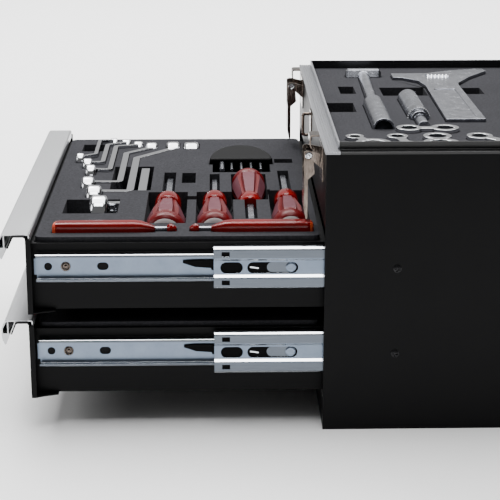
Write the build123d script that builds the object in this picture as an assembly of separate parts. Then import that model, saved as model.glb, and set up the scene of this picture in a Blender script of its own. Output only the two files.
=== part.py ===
from build123d import *
import os
from math import cos, radians, sin, sqrt

# Driving sizes of the cabinet, in millimetres
cabinet_width = 396.0
cabinet_depth = 270.0
cabinet_sheet = 1.0
plinth_height = 28.0
base_flange = 12.0
hem_depth = 6.0
hem_fold = 1.8
panel_height = 66.0
panel_return = 15.0
tray_depth = 46.0
ledge_width = 10.0
rim_thickness = 2.2
fin_thickness = 1.4
fin_height = 6.2
fin_drop = 4.0
rail_nose = 1.0
rail_groove = 0.5

# Driving sizes of the drawers
front_height = 68.8
front_sheet = 1.2
front_inset = 2.0
front_return = 4.5
front_foot = 22.0
front_proud = 6.0
lower_front_gap = 2.0
drawer_gap = 5.7
panel_gap = 2.5
drawer_travel = 239.4
box_length = 246.0
box_height = 57.0
box_sheet = 0.8
box_rim = 4.3

# Driving sizes of the aluminium pull, measured ahead of and below the top of the drawer front
pull_wall = 1.1
pull_reach = 22.9
pull_height = 21.4
pull_inset = 4.0
pull_hook = 7.0
flare_reach = 10.5
flare_drop = 10.0

# Driving sizes of the telescopic slides
slide_space = 12.7
slide_length = 219.0
slide_steel = 1.2
slide_rise = 38.5
outer_half = 21.0
middle_half = 18.3
inner_half = 11.9
inner_setback = 7.5
slot_length = 9.5
slot_height = 6.5
stop_slot_height = 9.5
stop_slot_length = 18.5
guide_slot_length = 42.0
tab_height = 14.0
middle_setback = 2.0
middle_ratio = 0.39
ball_radius = 2.4
cage_length = 60.0
cage_strip = 0.6
lever_length = 34.0
screw_radius = 1.9
screw_head_radius = 3.4
screw_from_face = 60.0
screw_spacing = 120.0
rivet_radius = 1.8

# Driving sizes of the lid, its hinge and its carrying handle
lid_height = 38.0
lid_gap = 0.3
lid_corner = 4.0
lid_open_angle = 97.0
hinge_length = 330.0
hinge_knuckles = 11
hinge_leaf = 1.0
hinge_leaf_height = 16.0
knuckle_radius = 3.0
knuckle_gap = 0.2
pin_radius = 1.55
pivot_clearance = 0.06
handle_reach = 34.0
handle_span = 80.0
handle_rod = 3.5
grip_radius = 6.0
bracket_width = 8.0

# Driving sizes of the draw latches and the hasp
latch_x = 149.5
latch_pivot_drop = 11.0
latch_pivot_out = 12.0
latch_width = 27.6
latch_steel = 1.2
lever_drop = 54.0
hook_drop = 13.0
hook_width = 16.0
hook_above_ledge = 4.2
catch_lip = 2.5
catch_clearance = 0.3
staple_height = 23.0
staple_reach = 9.5
staple_rod = 1.5

# Driving sizes of the foam inlays and the tools
foam_rise = 3.9
foam_slab = 30.0
foam_skirt = 8.0
foam_clearance = 0.5
foam_corner = 6.0
tray_foam_drop = 1.8
pocket_clearance = 0.5
pocket_floor = 6.0
tool_headroom = 1.2
driver_wall = 40.0
slim_wall = 19.0
slim_radius = 6.8
slim_grip = 86.0
slim_shank = 18.0
slim_tip = 8.0
bar_share = 0.48
far_ring_drop = 4.0
ring_round = 0.28
holder_reach = 60.0
holder_half = 31.0
holder_height = 14.0
key_spread = 9.4
key_radius = 1.4
key_reach = 26.0
worm_radius = 6.2
worm_drop = 1.5
panel_depth = 0.8
head_taper = 0.3
spanner_height = 8.0
ring_bore = 0.66

# Places that follow from the driving sizes
half_width = cabinet_width / 2
face_y = -cabinet_depth / 2
rear_y = cabinet_depth / 2
wall_x = half_width - cabinet_sheet
box_x = wall_x - slide_space
front_x = half_width - front_inset
open_y = face_y - front_proud - drawer_travel
drawer_pitch = front_height + drawer_gap
lower_z = plinth_height + lower_front_gap
drawer_z = {"lower": lower_z, "upper": lower_z + drawer_pitch}
panel_z = lower_z + drawer_pitch + front_height + panel_gap
ledge_z = panel_z + panel_height
tray_z = ledge_z - tray_depth
box_front = open_y + front_sheet
box_rear = box_front + box_length
fin_x = half_width - ledge_width
fin_front = face_y + ledge_width
fin_rear = rear_y - ledge_width
middle_travel = middle_ratio * drawer_travel
cage_ratio = (1 + middle_ratio) / 2
middle_front = face_y + middle_setback - middle_travel
inner_front = open_y + inner_setback
outer_front = face_y + hem_depth + lid_gap
hinge_y = rear_y + knuckle_radius + 0.6
hinge_z = ledge_z
lid_top = ledge_z + lid_gap + lid_height
handle_y = -handle_reach / 2
handle_z = lid_top + grip_radius + 1
latch_z = ledge_z - latch_pivot_drop
latch_y = face_y - latch_pivot_out
hook_z = latch_z - hook_drop
hook_y = latch_y + 2.5
foam_x = box_x - box_rim - foam_clearance
foam_front = box_front + box_rim + foam_clearance
foam_rear = box_rear - box_rim - foam_clearance
tray_foam_x = fin_x - fin_thickness - foam_clearance
tray_foam_top = ledge_z - tray_foam_drop


# Shared shapes
def block(x0, x1, y0, y1, z0, z1):
    """A block between two opposite corners."""
    return Pos((x0 + x1) / 2, (y0 + y1) / 2, (z0 + z1) / 2) * Box(x1 - x0, y1 - y0, z1 - z0)


def rod(start, end, radius):
    """A round bar from one point to another."""
    run = Vector(*end) - Vector(*start)
    return extrude(Plane(origin=start, z_dir=run) * Circle(radius), amount=run.length)


def outline(*points):
    """A flat face through the points, facing up whichever way they run."""
    face = Polygon(*points, align=None)
    return face if face.face().normal_at().Z > 0 else Polygon(*reversed(points), align=None)


def strip(points, thickness, radius):
    """The section of a folded sheet whose middle follows the points."""
    return trace(FilletPolyline(*points, radius=radius), line_width=thickness)


def along_x(section, x0, x1):
    """A bar whose section lies in Y and Z."""
    plane = Plane(origin=(x0, 0, 0), x_dir=(0, 1, 0), z_dir=(1, 0, 0))
    return extrude(plane * section, amount=x1 - x0)


def along_y(section, y0, y1):
    """A bar whose section lies in X and Z."""
    plane = Plane(origin=(0, y1, 0), x_dir=(1, 0, 0), z_dir=(0, -1, 0))
    return extrude(plane * section, amount=y1 - y0)


def upright(section, z0, z1):
    """A plate whose outline lies in X and Y."""
    return extrude(Pos(0, 0, z0) * section, amount=z1 - z0)


def both_sides(solid):
    """A piece of the right side together with its mirror image."""
    return [solid, mirror(solid, about=Plane.YZ)]


def with_lid(solid):
    """Swing a piece that was drawn on the closed lid to the lid's open place."""
    swing = Pos(0, hinge_y, hinge_z) * Rot(-lid_open_angle, 0, 0) * Pos(0, -hinge_y, -hinge_z)
    return swing * solid


pieces = {}


def keep(name, *solids):
    """File one sub-part under its name."""
    parts = [s for solid in solids for s in solid.solids()]
    pieces[name] = parts[0] if len(parts) == 1 else Compound(children=parts)


# Cabinet
def screw_places():
    """Y and Z of the screws that hold the outer slide members to a side panel."""
    first = face_y + screw_from_face
    return [(y, drawer_z[name] + slide_rise) for name in drawer_z for y in (first, first + screw_spacing)]


def side_panel():
    """One folded side sheet with a hemmed front edge and its screw holes."""
    top = ledge_z - rim_thickness
    panel = block(wall_x, half_width, face_y, rear_y, 0, top)
    hem = block(wall_x - hem_fold, wall_x, face_y, face_y + hem_depth, plinth_height, panel_z)
    hole = screw_radius + pivot_clearance
    holes = [rod((wall_x - 1, y, z), (half_width + 1, y, z), hole) for y, z in screw_places()]
    return panel + hem - holes


def base_pan():
    """The bottom sheet, turned up into the plinth at the front and a skirt at the rear."""
    half = cabinet_sheet / 2
    front = face_y + half
    rear = rear_y - cabinet_sheet - half
    top = plinth_height - half
    path = [(face_y + base_flange, top), (front, top), (front, half), (rear, half), (rear, top)]
    return along_x(strip(path, cabinet_sheet, cabinet_sheet), -wall_x, wall_x)


def front_panel():
    """The fixed sheet under the front rail, folded in along its lower edge."""
    middle = face_y + cabinet_sheet / 2
    low = panel_z + cabinet_sheet / 2
    section = strip(
        [(face_y + panel_return, low), (middle, low), (middle, ledge_z - rim_thickness)],
        cabinet_sheet,
        cabinet_sheet,
    )
    return along_x(section, -wall_x, wall_x)


def front_rail():
    """The aluminium rail: a grooved shelf with a rounded nose and an upright fin behind it."""
    nose_y = face_y - rail_nose
    nose_radius = rim_thickness / 2
    low = ledge_z - rim_thickness
    shelf = outline(
        (nose_y + nose_radius, low),
        (fin_front + fin_thickness, low),
        (fin_front + fin_thickness, ledge_z),
        (nose_y + nose_radius, ledge_z),
    )
    nose = Pos(nose_y + nose_radius, ledge_z - nose_radius) * Circle(nose_radius)
    section = shelf + nose
    groove_pitch = ledge_width / 5
    for number in (1, 2, 3, 4):
        y = face_y + number * groove_pitch
        section -= Pos(y, ledge_z) * Rectangle(groove_pitch / 2, 2 * rail_groove)
    fin = block(-fin_x, fin_x, fin_front, fin_front + fin_thickness, low - fin_drop, ledge_z + fin_height)
    return along_x(section, -half_width, half_width) + fin


def tray_rim():
    """The black ledge and fin round the sides and the rear of the tray."""
    start = fin_front + fin_thickness
    low = ledge_z - rim_thickness
    ledge = block(-half_width, half_width, start, rear_y, low, ledge_z)
    fin = block(-fin_x, fin_x, start, fin_rear, low - fin_drop, ledge_z + fin_height)
    inner_x = fin_x - fin_thickness
    inner_y = fin_rear - fin_thickness
    well = block(-inner_x, inner_x, start - 1, inner_y, low - fin_drop - 1, ledge_z + fin_height + 1)
    return ledge + fin - well


def hasp_staple():
    """A small plate with a round staple for a padlock."""
    middle_z = panel_z + 0.69 * panel_height
    plate_y = face_y - latch_steel
    half = staple_height / 2
    plate = block(-9, 9, plate_y, face_y, middle_z - half - 2, middle_z + half + 2)
    leg = half - staple_rod
    path = FilletPolyline(
        (0, plate_y, middle_z - leg),
        (0, face_y - staple_reach + staple_rod, middle_z - leg),
        (0, face_y - staple_reach + staple_rod, middle_z + leg),
        (0, plate_y, middle_z + leg),
        radius=2.5,
    )
    profile = Plane(origin=path @ 0, z_dir=path % 0) * Circle(staple_rod)
    return plate + sweep(profile, path=path)


def cabinet_screws():
    """Domed screws through the side panels into the outer slide members."""
    dome = screw_head_radius * 0.45
    screws = []
    for y, z in screw_places():
        inner = wall_x - slide_steel - 0.6
        shank = rod((inner, y, z), (half_width, y, z), screw_radius)
        head = rod((half_width, y, z), (half_width + dome, y, z), screw_head_radius)
        rim = head.edges().filter_by(GeomType.CIRCLE).sort_by(Axis.X)[-1]
        screws += both_sides(shank + fillet(rim, dome * 0.8))
    return screws


# Telescopic slides, drawn on the right side, with depth measured inwards from the side panel
def slide_outer(z):
    """The outer member, screwed to the side panel."""
    near = wall_x - slide_steel / 2
    far = wall_x - 8.9
    edge = outer_half - slide_steel / 2
    lip = edge - 1.8
    path = [(far, -lip), (far, -edge), (near, -edge), (near, edge), (far, edge), (far, lip)]
    section = strip([(x, z + h) for x, h in path], slide_steel, slide_steel * 0.75)
    member = along_y(section, outer_front, outer_front + slide_length)
    hole = screw_radius + pivot_clearance
    holes = [rod((far, y, h), (wall_x + 1, y, h), hole) for y, h in screw_places() if h == z]
    return member - holes


def slot_at(start, length, height, z, x0, x1):
    """Room for a slot with round ends through a slide member."""
    section = Pos(start + length / 2, z) * SlotOverall(length, height)
    return along_x(section, x0, x1)


def slide_middle(z):
    """The intermediate member: two ball tracks joined by a recessed web with its stop slots."""
    near = wall_x - hem_fold - 0.4 - slide_steel / 2
    web = near - 2.4
    far = near - 6.8
    edge = middle_half - slide_steel / 2
    lip = edge - 2.6
    bend = 1.6
    path = [(far, -lip), (far, -edge), (near - bend, -edge), (near, bend - edge), (near, -8.4), (web, -6.2)]
    path += [(x, -h) for x, h in reversed(path)]
    section = strip([(x, z + h) for x, h in path], slide_steel, slide_steel * 0.75)
    member = along_y(section, middle_front, middle_front + slide_length)
    first = middle_front + 5.5
    second = first + stop_slot_length + 3.8
    cuts = [
        slot_at(first, stop_slot_length, stop_slot_height, z, far, wall_x),
        slot_at(second, guide_slot_length, stop_slot_height, z, far, wall_x),
    ]
    for side in (-1, 1):
        height = z + side * 12.3
        cuts.append(block(far, wall_x, middle_front + 6.6, middle_front + 13.2, height - 2, height + 2))
    return member - cuts


def rivet_places():
    """Y of the rivets that hold an inner member to its drawer."""
    return [inner_front + slide_length * share for share in (0.11, 0.76, 0.92)]


def slide_inner(z):
    """The inner member, riveted to the drawer, with the pin of its release lever."""
    web = box_x + slide_steel / 2
    far = web + 6.8
    edge = inner_half - slide_steel / 2
    lip = edge - 1.8
    path = [(far, -lip), (far, -edge), (web, -edge), (web, edge), (far, edge), (far, lip)]
    section = strip([(x, z + h) for x, h in path], slide_steel, slide_steel * 0.75)
    member = along_y(section, inner_front, inner_front + slide_length)
    holes = [rod((box_x, y, z), (web + 1, y, z), rivet_radius + pivot_clearance) for y in rivet_places()]
    holes.append(rod((box_x, inner_front + 9.5, z), (web + 1, inner_front + 9.5, z), 3.3))
    holes.append(slot_at(inner_front + 50, slot_length, slot_height, z, box_x, web + 1))
    pin = rod((box_x + slide_steel, lever_y(), z), (box_x + slide_steel + 2.8, lever_y(), z), pin_radius)
    half = tab_height / 2
    tab = block(box_x, box_x + slide_steel, inner_front - 2.2, inner_front, z - half, z + half)
    return member - holes + pin + tab


def lever_y():
    """Y of the pivot of the release levers."""
    return inner_front + slide_length * 0.677


def release_lever(z):
    """A tapered plastic lever in the channel of the inner member."""
    x0 = box_x + slide_steel + 0.3
    y = lever_y()
    section = outline(
        (y - lever_length * 0.8, z + 2.9),
        (y - lever_length * 0.8, z + 4.5),
        (y - lever_length * 0.55, z + 5.2),
        (y + lever_length * 0.2, z + 5.2),
        (y + lever_length * 0.2, z - 3.4),
        (y - lever_length * 0.1, z - 3.4),
        (y - lever_length * 0.12, z - 1.6),
        (y - lever_length * 0.5, z - 0.6),
    )
    lever = along_x(section, x0, x0 + 1.8)
    return lever - rod((x0 - 1, y, z), (x0 + 3, y, z), pin_radius + pivot_clearance)


def ball_cages(z):
    """Above and below the inner member: a strip and the balls that run in its holes."""
    race = (inner_half + middle_half - slide_steel) / 2
    middle = wall_x - hem_fold - 0.4 - slide_steel - 3.0
    centre = (middle_front + inner_front + slide_length) / 2
    solids = []
    for side in (-1, 1):
        height = z + side * race
        strip_low = height - cage_strip / 2
        cage = block(
            middle - 2.2,
            middle + 2.2,
            centre - cage_length / 2,
            centre + cage_length / 2,
            strip_low,
            strip_low + cage_strip,
        )
        places = [centre + cage_length * share for share in (-0.39, -0.13, 0.13, 0.39)]
        holes = [Pos(middle, y, height) * Cylinder(ball_radius - 0.45, 3) for y in places]
        solids.append(cage - holes + [Pos(middle, y, height) * Sphere(ball_radius) for y in places])
    return solids


# Drawers
def drawer_front(z):
    """The full-width front, flared forwards at its top to carry the pull."""
    middle = open_y + front_sheet / 2
    under = z + front_height - pull_wall - front_sheet / 2
    section = strip(
        [
            (middle, z + front_sheet / 2),
            (middle, under),
            (open_y - flare_reach, under),
            (open_y - flare_reach - 4.1, under - flare_drop),
        ],
        front_sheet,
        2.5,
    )
    front = along_x(section, -front_x, front_x)
    slim = wall_x - hem_fold - 0.6
    step = front_x - slim
    corner = [
        (front_x, open_y),
        (front_x, open_y + front_return),
        (slim, open_y + front_return + step),
        (slim - 6, open_y + front_foot),
    ]
    foot = upright(outline(*corner, *[(-x, y) for x, y in reversed(corner)]), z, z + front_sheet)
    cheek = block(
        front_x - front_sheet,
        front_x,
        open_y,
        open_y + front_return,
        z,
        under - 2.5,
    )
    for side in both_sides(cheek):
        foot += side
    return front + foot


def drawer_pull(z):
    """The aluminium pull: a flat top, a hook behind it and a hollow rolled nose ahead of it."""
    top = z + front_height

    def spot(forward, down):
        return (open_y - forward, top - down)

    half = pull_wall / 2
    back = -front_sheet - 1.7
    skin = strip(
        [
            spot(back, pull_hook),
            spot(back, half),
            spot(19.0, half),
            spot(pull_reach - 0.6, 6.9),
            spot(pull_reach - half, 13.1),
            spot(pull_reach - 1.3, 18.0),
        ],
        pull_wall,
        1.2,
    )
    rib = outline(spot(17.0, half), spot(18.1, half), spot(18.1, 12.0), spot(17.0, 12.0))
    tip = outline(
        spot(16.2, 11.3),
        spot(pull_reach - half, 11.3),
        spot(pull_reach - 1.3, 18.3),
        spot(pull_reach - 2.4, pull_height),
        spot(pull_reach - 3.6, pull_height - 0.8),
        spot(16.2, 13.0),
    )
    bulb = Pos(*spot(back + 0.5, pull_hook)) * Circle(0.9)
    return along_x(skin + rib + tip + bulb, -half_width + pull_inset, half_width - pull_inset)


def drawer_box(z):
    """The welded sheet box with its rim folded inwards."""
    low = z + front_sheet
    high = low + box_height
    body = block(-box_x, box_x, box_front, box_rear, low, high)
    hollow = block(
        -box_x + box_sheet,
        box_x - box_sheet,
        box_front + box_sheet,
        box_rear - box_sheet,
        low + box_sheet,
        high - box_sheet,
    )
    mouth = block(
        -box_x + box_rim,
        box_x - box_rim,
        box_front + box_rim,
        box_rear - box_rim,
        high - 2 * box_sheet,
        high + 1,
    )
    height = z + slide_rise
    hole = rivet_radius + pivot_clearance
    holes = [rod((-box_x - 1, y, height), (box_x + 1, y, height), hole) for y in rivet_places()]
    return body - hollow - mouth - holes


def drawer_rivets(z):
    """Rivets through the inner slide members and the drawer's sides."""
    solids = []
    height = z + slide_rise
    outer = box_x + slide_steel
    inner = box_x - box_sheet
    for y in rivet_places():
        shank = rod((inner, y, height), (outer, y, height), rivet_radius)
        head = rod((outer, y, height), (outer + 1.2, y, height), rivet_radius * 1.7)
        tail = rod((inner - 0.8, y, height), (inner, y, height), rivet_radius * 1.5)
        solids += both_sides(shank + head + tail)
    return solids


def drawer_foam(z, tools):
    """The foam inlay on its skirt, with pockets where the tools lie."""
    low = z + front_sheet + box_sheet
    high = z + front_sheet + box_height + foam_rise
    middle = (foam_front + foam_rear) / 2
    plan = Pos(0, middle) * RectangleRounded(2 * foam_x, foam_rear - foam_front, foam_corner)
    body = upright(plan, low, high)
    hollow = block(
        -foam_x + foam_skirt,
        foam_x - foam_skirt,
        foam_front + foam_skirt,
        foam_rear - foam_skirt,
        low - 1,
        high - foam_slab,
    )
    return body - hollow - tools


# Tools, drawn lying along X and then put in their places
def on_x(radii):
    """A turned shape along X from pairs of distance and radius."""
    points = [(radii[0][0], 0), *radii, (radii[-1][0], 0)]
    return revolve(outline(*points), axis=Axis.X)


def driver_handle(length, radius, flutes=6):
    """A faceted screwdriver handle, its butt at X = 0 and its neck towards -X."""
    bulb = [(0.0, 0.8), (0.03, 0.93), (0.08, 1.0), (0.36, 1.0)]
    neck = [(0.6, 0.78), (0.76, 0.66), (0.9, 0.6), (0.92, 0.68), (1.0, 0.64)]
    radii = [(-length * x, radius * r) for x, r in bulb + neck]
    body = on_x(radii)
    cuts = []
    for number in range(flutes):
        angle = radians(360 * number / flutes)
        y = 1.22 * radius * cos(angle)
        z = 1.22 * radius * sin(angle)
        cuts.append(rod((-length * 0.56, y, z), (-length * 0.06, y, z), radius * 0.3))
    return body - cuts


def driver_blade(start, length, half):
    """The six-sided shank ahead of a handle that ends at -start."""
    section = Plane(origin=(-start, 0, 0), x_dir=(0, 1, 0), z_dir=(-1, 0, 0)) * RegularPolygon(half, 6)
    return extrude(section, amount=length)


def slim_blade(start, length, half):
    """The round shank of a slim driver, as far as its red tip."""
    return rod((-start, 0, 0), (-start - length + slim_tip, 0, 0), half)


def slim_cap(start, length, half):
    """The red tip of a slim driver."""
    end = -start - length
    return on_x([(end + slim_tip, half * 1.5), (end + slim_tip * 0.6, half * 2.2), (end, half * 0.9)])


# The tools' places were drawn on a foam of this half width, and spread or close up with the foam
drawer_spread = foam_x / 179.5


def drawer_spot(inwards, y):
    """A place in a drawer, inwards from the near side of its foam and back from its front face."""
    return (foam_x - inwards * drawer_spread, open_y + y)


def drawer_room(near, far, y0, y1, low, high):
    """An empty recess in a drawer's foam between two places inwards."""
    (x0, front), (x1, rear) = drawer_spot(far, y0), drawer_spot(near, y1)
    return block(x0, x1, front, rear, low, high)


def driver_place(inwards, y, z, turn):
    """Where a driver goes: the place of its butt, and its turn about the vertical."""
    return Pos(*drawer_spot(inwards, y), z) * Rot(0, 0, turn)


def pocket(place, length, radius, depth):
    """A slot in the foam for a driver: the room for a round bar, open to the top."""
    r = radius + pocket_clearance
    bar = rod((pocket_clearance, 0, 0), (-length - pocket_clearance, 0, 0), r)
    well = block(-length - pocket_clearance, pocket_clearance, -r, r, 0, depth)
    return place * (bar + well)


def drivers(z, stout, slim_inwards):
    """Handles, blades and pockets of a drawer's drivers: the stout ones given, and two slim ones in a row."""
    top = z + front_height + tool_headroom
    handles = []
    blades = []
    pockets = []
    for inwards, y, turn, radius, grip, shank, half in stout:
        place = driver_place(inwards, y, top - radius, turn)
        handles.append(place * driver_handle(grip, radius))
        blades.append(place * driver_blade(grip, shank, half))
        pockets.append(pocket(place, grip, radius, 2 * radius))
        pockets.append(pocket(place, grip + shank, half, 2 * radius))
    for y, turn in ((19, -90), (238, 90)):
        place = driver_place(slim_inwards, y, top - slim_radius, turn)
        handles.append(place * driver_handle(slim_grip, slim_radius))
        handles.append(place * slim_cap(slim_grip, slim_shank, 2.0))
        blades.append(place * slim_blade(slim_grip, slim_shank, 2.0))
        pockets.append(pocket(place, slim_grip, slim_radius, 2 * slim_radius))
        pockets.append(pocket(place, slim_grip + slim_shank, 4.4, 2 * slim_radius))
    return handles, blades, pockets


def twelve_points(radius):
    """The opening of a ring head: two hexagons, one turned by half a corner."""
    return RegularPolygon(radius, 6) + RegularPolygon(radius, 6, rotation=30)


def offset_wrench(bar, near, far, ring, z, spare=0.0):
    """A ring wrench lying on its side: a bar, two cranked arms and two rings that stand on edge."""
    x0, x1, y = bar
    width = bar_share * ring + 2 * spare
    half = 0.45 * ring + spare
    wall = 0.8 * ring
    ends = ((far[0] - wall, far[1]), (x0, y), (x1, y), (near[0] + wall, near[1]))
    path = [drawer_spot(*spot) for spot in ends]
    wrench = upright(strip(path, width, width * 0.7), z - half, z + half)
    band = 0.5 * ring + spare
    for (x, centre), height in ((drawer_spot(*near), z), (drawer_spot(*far), z - far_ring_drop)):
        head = rod((x, centre - band, height), (x, centre + band, height), ring + spare)
        if spare == 0.0:
            head = fillet(head.edges(), ring_round * ring)
        wrench += head
        if spare == 0.0:
            start = Plane(origin=(x, centre - band - 1, height), x_dir=(1, 0, 0), z_dir=(0, 1, 0))
            wrench -= extrude(start * twelve_points(ring_bore * ring), amount=2 * band + 2)
    return wrench


# Each wrench: its bar's two ends and depth, its near ring, its far ring and the rings' radius
wrench_rows = [
    ((342, 280, 36), (264, 22), (347, 50), 7.5),
    ((324, 250, 45), (242, 31), (342, 63), 9.0),
    ((318, 220, 54), (216, 36), (332, 76), 9.5),
    ((292, 178, 66), (170, 37), (326, 90), 12.0),
    ((276, 148, 77), (138, 45), (328, 112), 14.0),
    ((248, 108, 88), (102, 52), (326, 131), 16.0),
]


def wrench_set(z, spare=0.0):
    """Six ring wrenches in one row from small to large, their rings' tops level."""
    top = z + front_height + tool_headroom
    return [offset_wrench(*row, top - row[-1], spare) for row in wrench_rows]


holder_wall = 247.5
holder_y = 181.0


def key_holder(z, spare=0.0):
    """A flat black holder with a round far edge."""
    top = z + front_height - 1
    x, y = drawer_spot(holder_wall, holder_y)
    plan = Pos(x, y) * Ellipse(holder_reach + spare, holder_half + spare)
    room = Pos(x - holder_reach + spare, y) * Rectangle(2 * holder_reach, 4 * holder_half)
    return upright(plan & room, top - holder_height - spare, top + spare)


def hex_keys(z, spare=0.0):
    """Five keys that stick out of the holder, the first one stouter and longer."""
    height = z + front_height - 6
    start, middle = drawer_spot(holder_wall, holder_y)
    keys = []
    for number in (-2, -1, 0, 1, 2):
        stout = 1.7 if number == -2 else 1.0
        y = middle + number * key_spread
        reach = key_reach + 4 * (stout - 1)
        keys.append(rod((start, y, height), (start + reach + spare, y, height), key_radius * stout + spare))
    return keys


def upper_tools(z):
    """What lies in the upper drawer, and the pockets for it."""
    stout = [
        (driver_wall, 112.5, 0, 17.5, 102, 73, 5.2),
        (driver_wall, 155.0, 0, 16.0, 102, 66, 4.2),
        (207.5, 187.0, 180, 16.0, 92, 62, 4.8),
        (driver_wall + 4, 220.5, 0, 16.0, 102, 74, 4.8),
    ]
    handles, blades, pockets = drivers(z, stout, slim_wall)
    deep = foam_top(z) - foam_slab + pocket_floor
    high = foam_top(z) + 1
    pockets += wrench_set(z, pocket_clearance)
    pockets.append(key_holder(z, pocket_clearance))
    pockets += hex_keys(z, pocket_clearance)
    rooms = [(175.5, 213.5, 124, 137), (149.5, 239.5, 58, 96), (72, 118, 22, 70), (305, 335, 20, 44)]
    rooms.append((holder_wall - key_reach - 6, holder_wall + 4, holder_y - 28, holder_y + 28))
    rooms += [(116, 128, 122, 152), (118, 128, 170, 182), (252, 268, 214, 232), (132, 150, 190, 206)]
    pockets += [drawer_room(*room, deep, high) for room in rooms]
    return handles, blades, pockets


def lower_tools(z):
    """What lies in the lower drawer, and the pockets for it."""
    stout = [(driver_wall, y, 0, 16.0, 102, 66, 4.2) for y in (38, 80, 134, 214)]
    return drivers(z, stout, (2 * foam_x - slim_wall) / drawer_spread)


def foam_top(z):
    """Height of a drawer's foam."""
    return z + front_sheet + box_height + foam_rise


# Tray tools
# Likewise for the foam of the tray
tray_spread = tray_foam_x / 186.1


def tray_spot(inwards, y):
    """A place in the tray, inwards from the near side of its foam and back from the front face."""
    return (tray_foam_x - inwards * tray_spread, face_y + y)


def tray_bar(start, end, radius):
    """A round bar that lies at the foam's top between two places in the tray."""
    return rod((*tray_spot(*start), tray_foam_top), (*tray_spot(*end), tray_foam_top), radius)


def cross_head(inwards, y, half_length, radius):
    """A six-sided bar across the tray, with tapered ends, that heads a T wrench."""
    x, middle = tray_spot(inwards, y)
    start = Plane(origin=(x, middle - half_length, tray_foam_top), x_dir=(1, 0, 0), z_dir=(0, 1, 0))
    bar = extrude(start * RegularPolygon(radius, 6), amount=2 * half_length)
    taper = head_taper * radius
    ends = bar.faces().sort_by(Axis.Y)
    return chamfer([*ends[0].edges(), *ends[-1].edges()], taper)


def socket_wrench(spare=0.0):
    """A T-handled wrench whose long socket is open at its end."""
    body = cross_head(327, 61, 18 + spare, 8.5 + spare)
    body += tray_bar((327, 61), (180, 57), 5.5 + spare)
    body += tray_bar((184, 57), (80, 56), 9.5 + spare)
    if spare == 0.0:
        body -= tray_bar((110, 56.3), (70, 55.9), 7.5)
    return body


def extension_bar(spare=0.0):
    """A plug socket with a collar and a thinner shank."""
    body = tray_bar((210, 92), (124, 92), 9.5 + spare)
    body += tray_bar((124, 92), (117, 92), 8.0 + spare)
    return body + tray_bar((117, 92), (89, 92), 5.2 + spare)


def adjustable_wrench(spare=0.0):
    """A broad-jawed wrench lying flat, with a window for its worm."""
    plan = [(326, 89), (326, 124), (342, 152), (353, 186), (338, 188), (306, 166), (274, 150), (264, 149)]
    plan += [(107, 149), (107, 114), (261, 116), (286, 112), (304, 98), (305, 89)]
    face = outline(*[tray_spot(x, y) for x, y in plan])
    if spare:
        face = offset(face, amount=spare)
    low = tray_foam_top - 8 - spare
    body = upright(face, low, tray_foam_top + 3 + spare)
    if spare == 0.0:
        window = [(319, 123), (319, 145), (297, 145), (297, 123)]
        body -= upright(outline(*[tray_spot(x, y) for x, y in window]), low - 1, tray_foam_top + 8)
        panel = outline(*[tray_spot(x, y) for x, y in [(246, 142), (114, 142), (114, 121), (246, 122)]])
        panel = fillet(panel.vertices(), 4.0)
        body -= upright(panel, tray_foam_top + 3 - panel_depth, tray_foam_top + 8)
    return body


def worm_screw():
    """The worm that moves the jaw, across the window of the adjustable wrench."""
    (x, y0), (_, y1) = tray_spot(308, 123), tray_spot(308, 145)
    height = tray_foam_top - worm_drop
    return rod((x, y0, height), (x, y1, height), worm_radius)


# Each spanner: its two rings as place and radius
spanner_rows = [
    ((42, 27.5, 7.8), (17, 41, 15.5)),
    ((42, 97, 12.0), (17, 97, 15.5)),
    ((42, 132.6, 11.0), (17, 156, 15.5)),
    ((74, 77, 11.0), (74, 108, 12.0)),
    ((42, 63.4, 9.0), (14, 69, 9.0)),
]


def ring_spanners(spare=0.0):
    """Five short double-ended ring spanners."""
    spanners = []
    for rings in spanner_rows:
        (x0, y0), (x1, y1) = [tray_spot(*ring[:2]) for ring in rings]
        run = Vector(x1 - x0, y1 - y0)
        aside = run.normalized().rotate(Axis.Z, 90) * (4.0 + spare)
        plan = outline(
            (x0 + aside.X, y0 + aside.Y),
            (x0 - aside.X, y0 - aside.Y),
            (x1 - aside.X, y1 - aside.Y),
            (x1 + aside.X, y1 + aside.Y),
        )
        for (x, y), ring in zip(((x0, y0), (x1, y1)), rings):
            plan += Pos(x, y) * Circle(ring[2] + spare)
        low = tray_foam_top + 3 - spanner_height - spare
        spanner = upright(plan, low, tray_foam_top + 3 + spare)
        if spare == 0.0:
            for (x, y), ring in zip(((x0, y0), (x1, y1)), rings):
                hole = Pos(x, y) * twelve_points(ring_bore * ring[2])
                spanner -= upright(hole, low - 1, tray_foam_top + 4)
        spanners.append(spanner)
    return spanners


def tray_foam():
    """The foam inlay of the top tray."""
    front = fin_front + fin_thickness + foam_clearance
    rear = fin_rear - fin_thickness - foam_clearance
    plan = Pos(0, (front + rear) / 2) * RectangleRounded(2 * tray_foam_x, rear - front, foam_corner)
    body = upright(plan, tray_z, tray_foam_top)
    pockets = [
        socket_wrench(pocket_clearance),
        extension_bar(pocket_clearance),
        adjustable_wrench(pocket_clearance),
        *ring_spanners(pocket_clearance),
    ]
    deep = tray_foam_top - 18
    high = tray_foam_top + 1
    rooms = [(236, 272, 31, 46), (152, 193, 13, 39), (226, 266, 71, 114), (232, 263, 151, 169)]
    for near, far, y0, y1 in rooms:
        (x0, start), (x1, end) = tray_spot(far, y0), tray_spot(near, y1)
        pockets.append(block(x0, x1, start, end, deep, high))
    return body - pockets


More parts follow.
